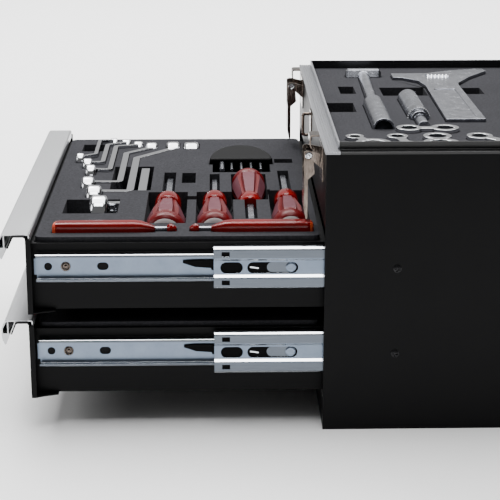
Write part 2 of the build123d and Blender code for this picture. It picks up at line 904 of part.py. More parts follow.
# Latches
def latch_base(x):
    """The plate of a draw latch with two ears and their pivot stubs."""
    half = latch_width / 2
    plate_y = face_y - latch_steel
    low = latch_z - 22
    base = block(x - half - 4, x + half + 4, plate_y, face_y, low, latch_z + 7)
    ear_outline = outline(
        (plate_y + 0.5, latch_z - 12),
        (latch_y + 2.5, latch_z - 4),
        (latch_y - 2, latch_z - 3.4),
        (latch_y - 3.4, latch_z - 1.4),
        (latch_y - 3.4, latch_z + 1.4),
        (latch_y - 2, latch_z + 3.4),
        (latch_y + 1.5, latch_z + 3.6),
        (plate_y + 0.5, latch_z + 1),
    )
    for side in (-1, 1):
        inner = half - latch_steel
        a, b = sorted((x + side * inner, x + side * half))
        base += along_x(ear_outline, a, b)
        a, b = sorted((x + side * (inner - 2.2), x + side * half))
        base += rod((a, latch_y, latch_z), (b, latch_y, latch_z), pin_radius)
    return base


def latch_lever(x):
    """The lever: two cheeks on the pivot stubs, joined by a web below the hook's pivot."""
    half = latch_width / 2 - latch_steel - 0.3
    cheek_outline = outline(
        (latch_y - 3.8, latch_z + 3),
        (latch_y - 1, latch_z + 4),
        (latch_y + 3.5, latch_z + 3),
        (hook_y + 2.5, hook_z - 3),
        (latch_y - 0.6, hook_z - 8),
        (latch_y - 0.6, latch_z - lever_drop),
        (latch_y - 2.4, latch_z - lever_drop),
        (latch_y - 3.8, hook_z - 6),
    )
    web = strip(
        [
            (latch_y - 3.2, hook_z - 7),
            (latch_y - 3.2, latch_z - lever_drop + 8),
            (latch_y - 1.4, latch_z - lever_drop - 1),
        ],
        latch_steel,
        2.0,
    )
    lever = along_x(web, x - half, x + half)
    for side in (-1, 1):
        a, b = sorted((x + side * (half - latch_steel), x + side * half))
        cheek = along_x(cheek_outline, a, b)
        lever += cheek
    hole = pin_radius + pivot_clearance
    lever -= rod((x - half - 1, latch_y, latch_z), (x + half + 1, latch_y, latch_z), hole)
    lever -= rod((x - half - 1, hook_y, hook_z), (x + half + 1, hook_y, hook_z), 1.2 + pivot_clearance)
    return lever


def latch_hook(x):
    """The S-shaped hook plate on its own pin in the lever."""
    half = latch_width / 2 - 2 * latch_steel - 0.3
    reach = face_y - catch_lip - catch_clearance
    arm = ledge_z + hook_above_ledge
    section = strip(
        [
            (hook_y, hook_z),
            (hook_y + 1.6, latch_z - 1),
            (hook_y - 1.2, latch_z + 8),
            (hook_y - 1.2, arm),
            (reach, arm),
        ],
        latch_steel,
        1.6,
    )
    hook = along_x(section, x - hook_width / 2, x + hook_width / 2)
    hook += rod((x - half + 0.2, hook_y, hook_z), (x + half - 0.2, hook_y, hook_z), 1.9)
    stub = half + latch_steel
    hook += rod((x - stub, hook_y, hook_z), (x + stub, hook_y, hook_z), 1.2)
    return hook


def catch(x):
    """The catch on the lid's skirt, drawn with the lid closed."""
    half = hook_width / 2 + 1
    low = ledge_z + lid_gap + 0.5
    plate = block(x - half, x + half, face_y - latch_steel, face_y, low, low + 13)
    lip = block(x - half, x + half, face_y - catch_lip, face_y, low, low + latch_steel)
    return plate + lip


# Hinge and lid
def knuckle_spans(first):
    """Spans along X of every second knuckle, starting at the given one."""
    pitch = hinge_length / hinge_knuckles
    start = -hinge_length / 2
    starts = [start + n * pitch for n in range(first, hinge_knuckles, 2)]
    return [(x + knuckle_gap, x + pitch - knuckle_gap) for x in starts]


def hinge_half(first, side):
    """One leaf with its knuckles. Side is -1 for the leaf below the pin and 1 for the one above."""
    clear = knuckle_radius + 0.4
    edge = hinge_z + side * clear
    tip = hinge_z + side * (clear + hinge_leaf_height)
    leaf = block(
        -hinge_length / 2,
        hinge_length / 2,
        rear_y,
        rear_y + hinge_leaf,
        min(edge, tip),
        max(edge, tip),
    )
    for x0, x1 in knuckle_spans(first):
        leaf += rod((x0, hinge_y, hinge_z), (x1, hinge_y, hinge_z), knuckle_radius)
        inner = hinge_z + side * (knuckle_radius - 1.2)
        outer = hinge_z + side * (knuckle_radius)
        leaf += block(x0, x1, rear_y, hinge_y, min(inner, outer), max(inner, outer))
        leaf += block(x0, x1, rear_y, rear_y + hinge_leaf, min(outer, edge), max(outer, edge))
    bore = pin_radius + pivot_clearance
    return leaf - rod((-hinge_length, hinge_y, hinge_z), (hinge_length, hinge_y, hinge_z), bore)


def hinge_pin():
    """The pin through all the knuckles, with small heads past the last ones."""
    half = hinge_length / 2
    pin = rod((-half - 1.2, hinge_y, hinge_z), (half + 1.2, hinge_y, hinge_z), pin_radius)
    for side in (-1, 1):
        a, b = sorted((side * half, side * (half + 1.2)))
        pin += rod((a, hinge_y, hinge_z), (b, hinge_y, hinge_z), pin_radius + 0.9)
    return pin


def lid_shell():
    """The lid, a rounded pan of sheet, drawn closed on the ledge."""
    low = ledge_z + lid_gap
    outer = block(-half_width, half_width, face_y, rear_y, low, lid_top)
    outer = fillet(outer.edges().filter_by(Axis.Z), lid_corner)
    outer = fillet(outer.faces().sort_by(Axis.Z)[-1].edges(), lid_corner * 0.75)
    skin = cabinet_sheet
    inner = block(-wall_x, wall_x, face_y + skin, rear_y - skin, low - 1, lid_top - skin)
    inner = fillet(inner.edges().filter_by(Axis.Z), lid_corner - skin)
    inner = fillet(inner.faces().sort_by(Axis.Z)[-1].edges(), lid_corner * 0.75 - skin)
    return outer - inner


def handle_brackets():
    """Two small blocks on the lid that hold the ends of the carrying handle."""
    blocks = []
    start = handle_span / 2 + handle_rod + 1.5
    for side in (-1, 1):
        a, b = sorted((side * start, side * (start + bracket_width)))
        ear = block(a, b, handle_y - 7, handle_y + 7, lid_top, handle_z + handle_rod + 2.5)
        ear = fillet(ear.edges().filter_by(Axis.X).group_by(Axis.Z)[-1], 3)
        bore = handle_rod + pivot_clearance
        blocks.append(ear - rod((a - 1, handle_y, handle_z), (b + 1, handle_y, handle_z), bore))
    return blocks


def hang(solid):
    """Let the carrying handle hang plumb below its pivots while the lid stands open."""
    turn = Pos(0, handle_y, handle_z) * Rot(lid_open_angle - 90, 0, 0) * Pos(0, -handle_y, -handle_z)
    return with_lid(turn * solid)


def lid_handle():
    """The bent rod of the carrying handle."""
    half = handle_span / 2
    end = half + handle_rod + 1.5 + bracket_width
    tip = handle_y + handle_reach
    path = FilletPolyline(
        (-end, handle_y, handle_z),
        (-half, handle_y, handle_z),
        (-half, tip, handle_z),
        (half, tip, handle_z),
        (half, handle_y, handle_z),
        (end, handle_y, handle_z),
        radius=handle_rod + 2.0,
    )
    profile = Plane(origin=path @ 0, z_dir=path % 0) * Circle(handle_rod)
    return sweep(profile, path=path)


def lid_grip():
    """The moulded sleeve on the middle of the carrying handle."""
    half = handle_span / 2 - 3 * handle_rod
    tip = handle_y + handle_reach
    sleeve = rod((-half, tip, handle_z), (half, tip, handle_z), grip_radius)
    return sleeve - rod((-half - 1, tip, handle_z), (half + 1, tip, handle_z), handle_rod)


# All the pieces
right_panel, left_panel = both_sides(side_panel())
keep("side_panel_right", right_panel)
keep("side_panel_left", left_panel)
keep("back_panel", block(-wall_x, wall_x, rear_y - cabinet_sheet, rear_y, 0, ledge_z - rim_thickness))
keep("base_pan", base_pan())
keep(
    "tray_floor",
    block(-wall_x, wall_x, face_y + cabinet_sheet, rear_y - cabinet_sheet, tray_z - cabinet_sheet, tray_z),
)
keep("front_panel", front_panel())
keep("front_rim_rail", front_rail())
keep("tray_rim", tray_rim())
keep("cabinet_screws", *cabinet_screws())
keep("hasp_staple", hasp_staple())
keep("tray_foam", tray_foam())
keep("socket_wrench", socket_wrench())
keep("extension_bar", extension_bar())
keep("adjustable_wrench", adjustable_wrench(), worm_screw())
keep("ring_spanners", *ring_spanners())
keep("hinge_leaf_cabinet", hinge_half(0, -1))
keep("hinge_pin", hinge_pin())
for side_name, side_x in (("left", -latch_x), ("right", latch_x)):
    keep(f"latch_base_{side_name}", latch_base(side_x))
    keep(f"latch_lever_{side_name}", latch_lever(side_x))
    keep(f"latch_hook_{side_name}", latch_hook(side_x))
keep("lid_shell", with_lid(lid_shell()))
keep("hinge_leaf_lid", with_lid(hinge_half(1, 1)))
keep("latch_catches", *[with_lid(catch(x)) for x in (-latch_x, latch_x)])
keep("handle_brackets", *[with_lid(bracket) for bracket in handle_brackets()])
keep("lid_handle", hang(lid_handle()), hang(lid_grip()))
for name, z in drawer_z.items():
    height = z + slide_rise
    handles, blades, pockets = upper_tools(z) if name == "upper" else lower_tools(z)
    keep(f"drawer_front_{name}", drawer_front(z))
    keep(f"drawer_pull_{name}", drawer_pull(z))
    keep(f"drawer_box_{name}", drawer_box(z))
    keep(f"drawer_rivets_{name}", *drawer_rivets(z))
    keep(f"drawer_foam_{name}", drawer_foam(z, pockets))
    keep(f"driver_handles_{name}", *handles)
    keep(f"driver_blades_{name}", *blades)
    keep(f"slide_outer_{name}", *both_sides(slide_outer(height)))
    right, left = both_sides(slide_middle(height))
    keep(f"slide_middle_{name}_right", right)
    keep(f"slide_middle_{name}_left", left)
    right, left = both_sides(slide_inner(height))
    keep(f"slide_inner_{name}_right", right)
    keep(f"slide_inner_{name}_left", left)
    keep(f"release_levers_{name}", *both_sides(release_lever(height)))
    cages = [cage for solid in ball_cages(height) for cage in both_sides(solid)]
    keep(f"ball_cages_{name}", *cages)
keep("wrench_set", *wrench_set(drawer_z["upper"]))
keep("key_holder", key_holder(drawer_z["upper"]))
keep("hex_keys", *hex_keys(drawer_z["upper"]))

os.makedirs("parts", exist_ok=True)
for name, piece in pieces.items():
    export_step(piece, f"parts/{name}.step")
print(len(pieces), "nodes")
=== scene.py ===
import math

import bmesh
import bpy
from mathutils import Matrix, Vector


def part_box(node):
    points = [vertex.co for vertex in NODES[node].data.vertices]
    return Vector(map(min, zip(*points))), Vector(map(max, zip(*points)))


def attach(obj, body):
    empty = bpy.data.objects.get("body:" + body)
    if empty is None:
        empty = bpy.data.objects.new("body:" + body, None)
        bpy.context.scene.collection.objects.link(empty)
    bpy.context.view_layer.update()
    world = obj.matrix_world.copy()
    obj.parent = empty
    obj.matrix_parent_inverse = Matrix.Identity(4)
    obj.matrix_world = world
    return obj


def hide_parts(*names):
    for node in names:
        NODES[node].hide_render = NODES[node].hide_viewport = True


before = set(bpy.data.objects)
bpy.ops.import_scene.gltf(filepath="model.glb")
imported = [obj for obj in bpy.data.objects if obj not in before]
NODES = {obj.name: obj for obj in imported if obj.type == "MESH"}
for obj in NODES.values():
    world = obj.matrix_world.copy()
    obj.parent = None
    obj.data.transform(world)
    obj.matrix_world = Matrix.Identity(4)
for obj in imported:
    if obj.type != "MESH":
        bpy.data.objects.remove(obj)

bl_info = {
    "name": "Toolbox with drawers",
    "version": (1, 0, 0),
    "blender": (4, 5, 0),
    "location": "3D View > Sidebar > Toolbox",
    "description": "Finishes a steel toolbox, its foam inlays and its tools round the packed model",
    "category": "Object",
}

MM = 0.001
MERGE = 0.02 * MM


# Colours and nodes
def paint(hex_value, alpha=1.0):
    """A linear colour from an sRGB hex value."""
    text = hex_value.lstrip("#")
    channels = [int(text[i:i + 2], 16) / 255 for i in (0, 2, 4)]
    return [c / 12.92 if c <= 0.04045 else ((c + 0.055) / 1.055) ** 2.4 for c in channels] + [alpha]


def add(tree, kind, inputs=None, **settings):
    """One node with its settings, values and links."""
    node = tree.nodes.new(kind)
    for key, value in settings.items():
        setattr(node, key, value)
    for key, value in (inputs or {}).items():
        if isinstance(value, bpy.types.NodeSocket):
            tree.links.new(value, node.inputs[key])
        else:
            node.inputs[key].default_value = value
    return node


def surface(name, colour=None, **values):
    """A new material with a Principled shader; returns the material, its tree and the shader."""
    material = bpy.data.materials.new(name)
    material.use_nodes = True
    tree = material.node_tree
    shader = tree.nodes["Principled BSDF"]
    if colour:
        shader.inputs["Base Color"].default_value = paint(colour)
    for key, value in values.items():
        shader.inputs[key.replace("_", " ")].default_value = value
    return material, tree, shader


def wire(tree, shader, **outputs):
    """Link the outputs of nodes to the shader's sockets."""
    for key, output in outputs.items():
        tree.links.new(output, shader.inputs[key.replace("_", " ")])


def blend(tree, factor, low, high):
    """A colour between two, each an sRGB hex value or the output of a node."""
    ends = [end if isinstance(end, bpy.types.NodeSocket) else paint(end) for end in (low, high)]
    mixed = add(tree, "ShaderNodeMix", {"Factor": factor, "A": ends[0], "B": ends[1]}, data_type="RGBA")
    return mixed.outputs[2]


def object_point(tree, scale):
    """Object coordinates, stretched by a scale for each axis."""
    place = add(tree, "ShaderNodeTexCoord")
    return add(tree, "ShaderNodeMapping", {"Vector": place.outputs["Object"], "Scale": scale}).outputs["Vector"]


def grain(tree, scale, detail=3.0, roughness=0.6):
    """The value of a noise over object coordinates."""
    point = object_point(tree, scale)
    noise = add(tree, "ShaderNodeTexNoise", {
        "Vector": point, "Scale": 1.0, "Detail": detail, "Roughness": roughness})
    return noise.outputs["Fac"]


def span(tree, value, low, high):
    """Map a value from 0..1 to a range."""
    return add(tree, "ShaderNodeMapRange", {"Value": value, "To Min": low, "To Max": high}).outputs["Result"]


def bumped(tree, shader, height, strength, depth):
    """Let a height pattern roughen the surface."""
    bump = add(tree, "ShaderNodeBump", {"Height": height, "Strength": strength, "Distance": depth})
    wire(tree, shader, Normal=bump.outputs["Normal"])


def per_mm(x, y=None, z=None):
    """A texture scale from the size of its grain in millimetres along each axis."""
    return tuple(1 / (size * MM) for size in (x, x if y is None else y, x if z is None else z))


# Finishes
def powder_coat():
    """Satin black powder coat: almost no colour, a soft sheen and a fine orange peel."""
    material, tree, shader = surface(
        "powder_coated_steel", "#070708", Roughness=0.4, IOR=1.5, Specular_IOR_Level=0.09)
    wire(tree, shader, Roughness=span(tree, grain(tree, per_mm(40.0)), 0.36, 0.46))
    bumped(tree, shader, grain(tree, per_mm(1.4), 2.0), 0.12, 0.05 * MM)
    return material


def rim_coat():
    """The same coat on the tray's rim, glossier where it was handled: its flat top mirrors a pale room."""
    material, tree, shader = surface(
        "glossy_powder_coat", "#070708", Roughness=0.24, IOR=1.5, Specular_IOR_Level=0.5)
    wire(tree, shader, Roughness=span(tree, grain(tree, per_mm(30.0)), 0.2, 0.3))
    bumped(tree, shader, grain(tree, per_mm(1.4), 2.0), 0.08, 0.05 * MM)
    return material


def black_oxide():
    """Black-oxide screws: a little glossier than the coat round them."""
    material, tree, shader = surface("black_oxide_screw", "#141416", Metallic=0.6, Roughness=0.32)
    wire(tree, shader, Roughness=span(tree, grain(tree, per_mm(0.8)), 0.25, 0.4))
    return material


def brushed_aluminium():
    """Clear-anodised aluminium brushed along the cabinet's width, which draws highlights out across it."""
    material, tree, shader = surface("brushed_anodised_aluminium", Metallic=1.0, Roughness=0.34)
    lines = grain(tree, per_mm(60.0, 0.35, 0.35), 4.0)
    tone = blend(tree, lines, "#adaeb0", "#c9cacc")
    wire(tree, shader, Base_Color=tone, Roughness=span(tree, lines, 0.28, 0.44))
    bumped(tree, shader, lines, 0.1, 0.03 * MM)
    return material


def aluminium_painted_shade():
    """The rail's extrusion: the same aluminium and brushing, its colour darkened to paint the shade that lies on
    the rail.
    """
    material, tree, shader = surface("anodised_aluminium_painted_shade", Metallic=1.0, Roughness=0.34)
    lines = grain(tree, per_mm(60.0, 0.35, 0.35), 4.0)
    wire(tree, shader, Base_Color=blend(tree, lines, "#85868a", "#a3a4a8"))
    bumped(tree, shader, lines, 0.1, 0.03 * MM)
    return material


def zinc_plate():
    """Bright zinc with a blue passivation on cold-rolled strip: pale, a little cloudy, rolled lengthways."""
    material, tree, shader = surface("blue_zinc_plated_steel", Metallic=1.0, Roughness=0.3)
    cloud = grain(tree, per_mm(14.0))
    rolled = grain(tree, per_mm(0.5, 30.0, 0.5))
    tone = blend(tree, cloud, "#667181", "#7f8b9a")
    wire(tree, shader, Base_Color=tone, Roughness=span(tree, rolled, 0.24, 0.38))
    bumped(tree, shader, rolled, 0.06, 0.02 * MM)
    return material


def zinc_painted_highlight():
    """Up- and down-facing faces of the rolled tracks, and the stops' spring end: almost a mirror, with a colour
    much paler than the zinc that paints on bright lines of highlight.
    """
    material, tree, shader = surface("zinc_painted_highlight", "#e3e7ec", Metallic=1.0, Roughness=0.14)
    wire(tree, shader, Roughness=span(tree, grain(tree, per_mm(0.6, 25.0, 0.6)), 0.1, 0.2))
    return material


def zinc_painted_shade():
    """The flanks of the rolled tracks, and the stops' plate: the zinc darker and greyer than the web between
    them, as painted shade.
    """
    material, tree, shader = surface("zinc_painted_shade", Metallic=1.0, Roughness=0.34)
    rolled = grain(tree, per_mm(0.5, 30.0, 0.5))
    wire(tree, shader, Base_Color=blend(tree, rolled, "#555b63", "#6d737b"))
    bumped(tree, shader, rolled, 0.08, 0.02 * MM)
    return material


def nickel_plate():
    """Nickel plate on stamped strip: warm, with brown-pink tones where it is a little hazed."""
    material, tree, shader = surface("nickel_plated_steel", Metallic=1.0, Roughness=0.2)
    haze = span(tree, grain(tree, per_mm(2.5, 2.5, 8.0), 4.0), -0.5, 1.5)
    tone = blend(tree, haze, "#3d3430", "#8e837a")
    wire(tree, shader, Base_Color=tone, Roughness=span(tree, haze, 0.12, 0.26))
    bumped(tree, shader, grain(tree, per_mm(3.0, 3.0, 7.0), 2.0), 0.6, 0.35 * MM)
    return material


def tool_chrome():
    """Chrome-vanadium steel with satin chrome plate, as on forged hand tools: grey, with soft dark clouds."""
    material, tree, shader = surface("satin_chrome_vanadium", Metallic=1.0, Roughness=0.24)
    cloud = grain(tree, per_mm(9.0))
    tone = blend(tree, span(tree, cloud, -0.3, 1.3), "#6f7178", "#a2a4ab")
    wire(tree, shader, Base_Color=tone, Roughness=span(tree, cloud, 0.18, 0.32))
    bumped(tree, shader, grain(tree, per_mm(6.0), 2.0), 0.35, 0.25 * MM)
    return material


def bright_steel():
    """Polished chrome on socket and ring heads: almost a mirror, slightly wavy from the forging."""
    material, tree, shader = surface("polished_chrome", "#d6d7da", Metallic=1.0, Roughness=0.07)
    wire(tree, shader, Roughness=span(tree, grain(tree, per_mm(4.0)), 0.05, 0.1))
    bumped(tree, shader, grain(tree, per_mm(7.0), 2.0), 0.3, 0.25 * MM)
    return material


def cell_foam():
    """Closed-cell polyethylene foam: dark grey and dull, with a cloudy dusting and cut cells as specks."""
    material, tree, shader = surface("closed_cell_foam", Roughness=0.95, Specular_IOR_Level=0.08)
    point = object_point(tree, per_mm(1.6))
    cells = add(tree, "ShaderNodeTexVoronoi", {"Vector": point, "Scale": 1.0, "Randomness": 1.0})
    dust = grain(tree, per_mm(2.2), 6.0, 0.75)
    cloud = grain(tree, per_mm(38.0))
    tone = blend(tree, span(tree, dust, -0.35, 1.35), "#161618", "#434347")
    wire(tree, shader, Base_Color=blend(tree, span(tree, cloud, 0.0, 0.7), tone, "#262629"))
    bumped(tree, shader, cells.outputs["Distance"], 0.6, 0.3 * MM)
    return material


def red_acetate():
    """Dark clear red cellulose acetate of the rings and grooves, glossy."""
    material, tree, shader = surface(
        "dark_red_acetate", "#5c0307", Roughness=0.3, IOR=1.48, Transmission_Weight=0.2,
        Specular_IOR_Level=0.08)
    wire(tree, shader, Roughness=span(tree, grain(tree, per_mm(9.0)), 0.24, 0.36))
    return material


def frosted_acetate_painted_sheen():
    """The flats of the handles, frosted in the mould, their colour a pink-grey that paints the sheen of the pale
    room over the red below.
    """
    material, tree, shader = surface("frosted_red_acetate_painted_sheen", Roughness=0.42, IOR=1.48, Specular_IOR_Level=0.1)
    wire(tree, shader, Base_Color=blend(tree, grain(tree, per_mm(5.0)), "#4c242c", "#643c44"))
    bumped(tree, shader, grain(tree, per_mm(0.9)), 0.1, 0.05 * MM)
    return material


def red_bar():
    """Clear red acetate, polished: deep red along the bar, with hard glints on its edges."""
    material, tree, shader = surface(
        "clear_red_acetate", Roughness=0.08, IOR=1.48, Transmission_Weight=0.4, Specular_IOR_Level=0.16)
    wire(tree, shader, Base_Color=blend(tree, grain(tree, per_mm(14.0, 60.0, 14.0), 1.0), "#540304", "#a40a08"))
    return material


def lit_end():
    """The ends of the clear bars, where the light that runs through them comes out orange."""
    material, tree, shader = surface("clear_red_acetate_end", Roughness=0.12, IOR=1.48, Transmission_Weight=0.3)
    glow = span(tree, grain(tree, per_mm(4.0), 2.0), -0.8, 1.8)
    wire(tree, shader, Base_Color=blend(tree, glow, "#b8140a", "#ff7040"))
    return material


def moulded_black():
    """Black moulded nylon with a faint grain."""
    material, tree, shader = surface("moulded_black_nylon", "#040405", Roughness=0.45, Specular_IOR_Level=0.05)
    bumped(tree, shader, grain(tree, per_mm(0.8)), 0.15, 0.08 * MM)
    return material


def grip_rubber():
    """Soft black vinyl of the carrying handle's sleeve: matt, with a fine leathery grain."""
    material, tree, shader = surface("soft_vinyl_grip", "#161617", Roughness=0.6)
    bumped(tree, shader, grain(tree, per_mm(1.2)), 0.25, 0.12 * MM)
    return material


def butt_insert():
    """The pale disc in the butt of a screwdriver handle: a light spot at the end of the red."""
    material, tree, shader = surface("pale_acetate_disc", "#c9c6c6", Roughness=0.3)
    bumped(tree, shader, grain(tree, per_mm(2.0), 2.0), 0.05, 0.05 * MM)
    return material


MAKERS = {
    "black_steel": powder_coat,
    "rim": rim_coat,
    "black_screw": black_oxide,
    "aluminium": brushed_aluminium,
    "aluminium_painted_shade": aluminium_painted_shade,
    "zinc": zinc_plate,
    "zinc_highlit": zinc_painted_highlight,
    "zinc_shaded": zinc_painted_shade,
    "nickel": nickel_plate,
    "tool_steel": tool_chrome,
    "bright_steel": bright_steel,
    "foam": cell_foam,
    "red_plastic": red_acetate,
    "frosted_sheen": frosted_acetate_painted_sheen,
    "red_bar": red_bar,
    "lit_end": lit_end,
    "black_plastic": moulded_black,
    "grip": grip_rubber,
    "butt": butt_insert,
}
FINISHES = {}


def finish(name):
    """The material of one finish, made when it is first asked for."""
    if name not in FINISHES:
        FINISHES[name] = MAKERS[name]()
    return FINISHES[name]


# Meshes
def new_piece(name, shape, finishes, body, slot, *replaced):
    """File a finished bmesh as a piece that rides on a body."""
    mesh = bpy.data.meshes.new(name)
    shape.to_mesh(mesh)
    shape.free()
    piece = bpy.data.objects.new(name, mesh)
    bpy.context.scene.collection.objects.link(piece)
    for each in finishes:
        mesh.materials.append(finish(each))
    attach(piece, body)
    if replaced:
        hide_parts(*replaced)
    return piece


def node_shape(node):
    """A merged copy of a node's mesh."""
    shape = bmesh.new()
    shape.from_mesh(NODES[node].data)
    bmesh.ops.remove_doubles(shape, verts=shape.verts, dist=MERGE)
    bmesh.ops.dissolve_limit(shape, angle_limit=math.radians(1), verts=shape.verts, edges=shape.edges)
    return shape


def smooth(shape, degrees):
    """Shade smooth, with sharp edges where faces meet at more than an angle."""
    angle = math.radians(degrees)
    for face in shape.faces:
        face.smooth = True
    for edge in shape.edges:
        edge.smooth = len(edge.link_faces) == 2 and edge.calc_face_angle(0) < angle


def solids_of(node):
    """The points of each separate solid of a node."""
    shape = bmesh.new()
    shape.from_mesh(NODES[node].data)
    bmesh.ops.remove_doubles(shape, verts=shape.verts, dist=MERGE)
    seen = set()
    solids = []
    for start in shape.verts:
        if start in seen:
            continue
        seen.add(start)
        found = []
        queue = [start]
        while queue:
            vertex = queue.pop()
            found.append(vertex.co.copy())
            for edge in vertex.link_edges:
                other = edge.other_vert(vertex)
                if other not in seen:
                    seen.add(other)
                    queue.append(other)
        solids.append(found)
    shape.free()
    return solids


def box_of(points):
    """The lowest and the highest corner of some points."""
    low = Vector([min(p[i] for p in points) for i in range(3)])
    high = Vector([max(p[i] for p in points) for i in range(3)])
    return low, high


def coat(finish_name, *nodes):
    """Give CAD nodes one finish."""
    for node in nodes:
        mesh = NODES[node].data
        mesh.materials.clear()
        mesh.materials.append(finish(finish_name))


def lathe(shape, profile, place=Matrix(), sides=32, reach=None, slot=0, mark=None):
    """Add a closed body turned about X; its profile holds distances, radii and shares of reach(angle).

    mark(x, share, angle) picks the material slot of each side face instead of one slot for all."""
    rings = []
    for x, radius, share in profile:
        ring = []
        for number in range(sides):
            angle = math.tau * number / sides
            r = radius * (1 + share * (reach(angle) - 1)) if reach else radius
            ring.append(shape.verts.new(place @ Vector((x, r * math.cos(angle), r * math.sin(angle)))))
        rings.append(ring)
    faces = []
    for step, (a, b) in enumerate(zip(rings, rings[1:])):
        x, _, share = (sum(pair) / 2 for pair in zip(profile[step], profile[step + 1]))
        for number in range(sides):
            after = (number + 1) % sides
            face = shape.faces.new((a[number], a[after], b[after], b[number]))
            face.material_index = mark(x, share, math.tau * (number + 0.5) / sides) if mark else slot
            faces.append(face)
    for end in (list(reversed(rings[0])), rings[-1]):
        faces.append(shape.faces.new(end))
        faces[-1].material_index = slot
    bmesh.ops.recalc_face_normals(shape, faces=faces)


def turned(*profile, sides=24):
    """A small round body about X from pairs of distance and radius in millimetres, smooth but for its corners."""
    shape = bmesh.new()
    lathe(shape, [(x * MM, r * MM, 0) for x, r in profile], sides=sides)
    smooth(shape, 35)
    return shape


def plate(shape, corners, low, high, slot=0):
    """Add a flat plate to a shape: corners in Y and Z, from one X to another."""
    near = [shape.verts.new((low, y, z)) for y, z in corners]
    far = [shape.verts.new((high, y, z)) for y, z in corners]
    faces = [shape.faces.new(near), shape.faces.new(reversed(far))]
    for number, after in enumerate([*range(1, len(corners)), 0]):
        faces.append(shape.faces.new((near[number], far[number], far[after], near[after])))
    for face in faces:
        face.material_index = slot
    bmesh.ops.recalc_face_normals(shape, faces=faces)


def obround(y0, y1, z, radius, steps=10):
    """The corners of a slot shape along Y."""
    corners = []
    for centre, start in ((y1 - radius, -90), (y0 + radius, 90)):
        for step in range(steps + 1):
            angle = math.radians(start + 180 * step / steps)
            corners.append((centre + radius * math.cos(angle), z + radius * math.sin(angle)))
    return corners


def narrowest(node):
    """The points of the solid of a node that is narrowest in X."""
    return min(solids_of(node), key=lambda points: box_of(points)[1].x - box_of(points)[0].x)


# Repeats
def places_tree():
    """Set one object on every point: its facing is an attribute, and chance turns it about its own X axis."""
    tree = bpy.data.node_groups.new("pieces_on_places", "GeometryNodeTree")
    for name, kind in (("Places", "NodeSocketGeometry"), ("Piece", "NodeSocketObject"),
                       ("Finish", "NodeSocketMaterial"), ("Wobble", "NodeSocketFloat"),
                       ("Seed", "NodeSocketInt")):
        tree.interface.new_socket(name, in_out="INPUT", socket_type=kind)
    tree.interface.new_socket("Pieces", in_out="OUTPUT", socket_type="NodeSocketGeometry")
    given = tree.nodes.new("NodeGroupInput").outputs
    facing = add(tree, "GeometryNodeInputNamedAttribute", {"Name": "facing"}, data_type="FLOAT_VECTOR")
    index = add(tree, "GeometryNodeInputIndex")
    shape = add(tree, "GeometryNodeObjectInfo", {"Object": given["Piece"]})
    placed = add(tree, "GeometryNodeInstanceOnPoints", {
        "Points": given["Places"], "Instance": shape.outputs["Geometry"],
        "Rotation": facing.outputs["Attribute"]})
    chance = add(tree, "FunctionNodeRandomValue", {
        2: 0.0, 3: 1.0, "ID": index.outputs["Index"], "Seed": given["Seed"]}, data_type="FLOAT")
    angle = add(tree, "ShaderNodeMath", {0: chance.outputs[1], 1: given["Wobble"]}, operation="MULTIPLY")
    about_x = add(tree, "ShaderNodeCombineXYZ", {"X": angle.outputs["Value"]})
    spun = add(tree, "GeometryNodeRotateInstances", {
        "Instances": placed.outputs["Instances"], "Rotation": about_x.outputs["Vector"]})
    real = add(tree, "GeometryNodeRealizeInstances", {"Geometry": spun.outputs["Instances"]})
    done = add(tree, "GeometryNodeSetMaterial", {
        "Geometry": real.outputs["Geometry"], "Material": given["Finish"]})
    end = tree.nodes.new("NodeGroupOutput")
    tree.links.new(done.outputs["Geometry"], end.inputs["Pieces"])
    return tree


def loose(name, mesh):
    """A helper object in the scene that doesn't stay."""
    helper = bpy.data.objects.new(name, mesh)
    bpy.context.scene.collection.objects.link(helper)
    return helper


def repeated(name, shape, places, finish_name, body, slot, *replaced, wobble=0.0, seed=1):
    """One piece from a small shape on many places, each a point in millimetres and its facing in degrees."""
    if "pieces_on_places" not in bpy.data.node_groups:
        places_tree()
    tree = bpy.data.node_groups["pieces_on_places"]
    mesh = bpy.data.meshes.new("one")
    shape.to_mesh(mesh)
    shape.free()
    one = loose("one", mesh)
    points = bpy.data.meshes.new("places")
    points.from_pydata([Vector(point) * MM for point, _ in places], [], [])
    facing = points.attributes.new("facing", "FLOAT_VECTOR", "POINT")
    for number, (_, turn) in enumerate(places):
        facing.data[number].vector = [math.radians(angle) for angle in turn]
    host = loose("host", points)
    nodes = host.modifiers.new("places", "NODES")
    nodes.node_group = tree
    values = {"Piece": one, "Finish": finish(finish_name), "Wobble": math.radians(wobble), "Seed": seed}
    for item in tree.interface.items_tree:
        if item.in_out == "INPUT" and item.name in values:
            nodes[item.identifier] = values[item.name]
    baked = bpy.data.meshes.new_from_object(host.evaluated_get(bpy.context.evaluated_depsgraph_get()))
    for helper in (one, host):
        bpy.data.objects.remove(helper)
    if not baked.polygons:
        raise RuntimeError(f"{name} came out empty")
    joined = bmesh.new()
    joined.from_mesh(baked)
    bpy.data.meshes.remove(baked)
    return new_piece(name, joined, [finish_name], body, slot, *replaced)


def centres(node):
    """The middle of each solid of a node, in millimetres."""
    return [sum(box_of(points), Vector()) / 2 / MM for points in solids_of(node)]


